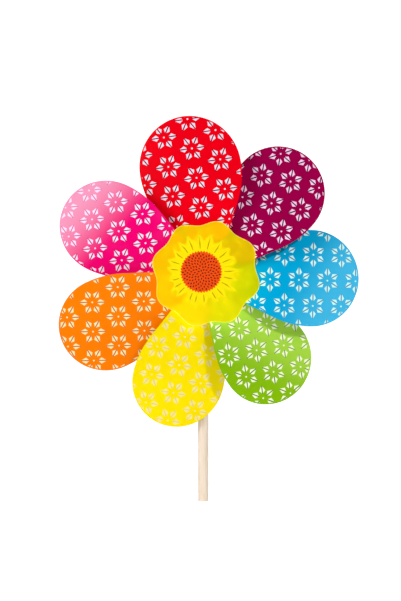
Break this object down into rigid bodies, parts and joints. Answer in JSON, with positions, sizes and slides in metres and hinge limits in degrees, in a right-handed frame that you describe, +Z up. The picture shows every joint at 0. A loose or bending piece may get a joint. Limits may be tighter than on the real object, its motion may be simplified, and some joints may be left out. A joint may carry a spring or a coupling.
{
  "type": "wind spinner",
  "caption": "Flower-shaped garden wind spinner: pitched printed film petals and a sunflower disc turn on an axle at the top of a wooden stick.",
  "frame": {"origin": "centre of the stick's lower end", "axes": "+Z up the stick, the flower faces -Y, +X to the viewer's right; the rotor's axle is parallel to Y"},
  "size_m": [0.2848, 0.0572, 0.3671],
  "materials": {
    "wood": "sanded birch dowel, unvarnished",
    "white_moulding": "fine moulded texture",
    "natural_plastic": "waxy natural nylon",
    "steel": "zinc plated",
    "foam_tape": "soft foam",
    "disc_film": "translucent film with a printed sunflower",
    "red_film": "glossy film with white printed flowers",
    "purple_film": "glossy film with white printed flowers",
    "blue_film": "glossy film with white printed flowers",
    "green_film": "glossy film with white printed flowers",
    "yellow_film": "glossy film with white printed flowers",
    "orange_film": "glossy film with white printed flowers",
    "pink_film": "glossy film with white printed flowers"
  },
  "bodies": {
    "stand": {"stick": "wood", "stick_socket": "white_moulding", "axle_pin": "steel", "axle_rear_cap": "steel", "rear_spacer": "natural_plastic", "rear_washer": "natural_plastic", "front_washer": "natural_plastic"},
    "rotor": {"hub_bush": "natural_plastic", "hub_spider": "white_moulding", "front_cap": "white_moulding", "adhesive_pad": "foam_tape", "centre_disc": "disc_film", "petal_rivets": "natural_plastic", "rivet_washers": "natural_plastic", "petal_red": "red_film", "petal_purple": "purple_film", "petal_blue": "blue_film", "petal_green": "green_film", "petal_yellow": "yellow_film", "petal_orange": "orange_film", "petal_pink": "pink_film"}
  },
  "joints": [
    {"name": "rotor_spin", "type": "hinge", "parent": "stand", "child": "rotor", "pos_m": [0, -0.0315, 0.217], "axis": [0, 1, 0], "continuous": true}
  ]
}
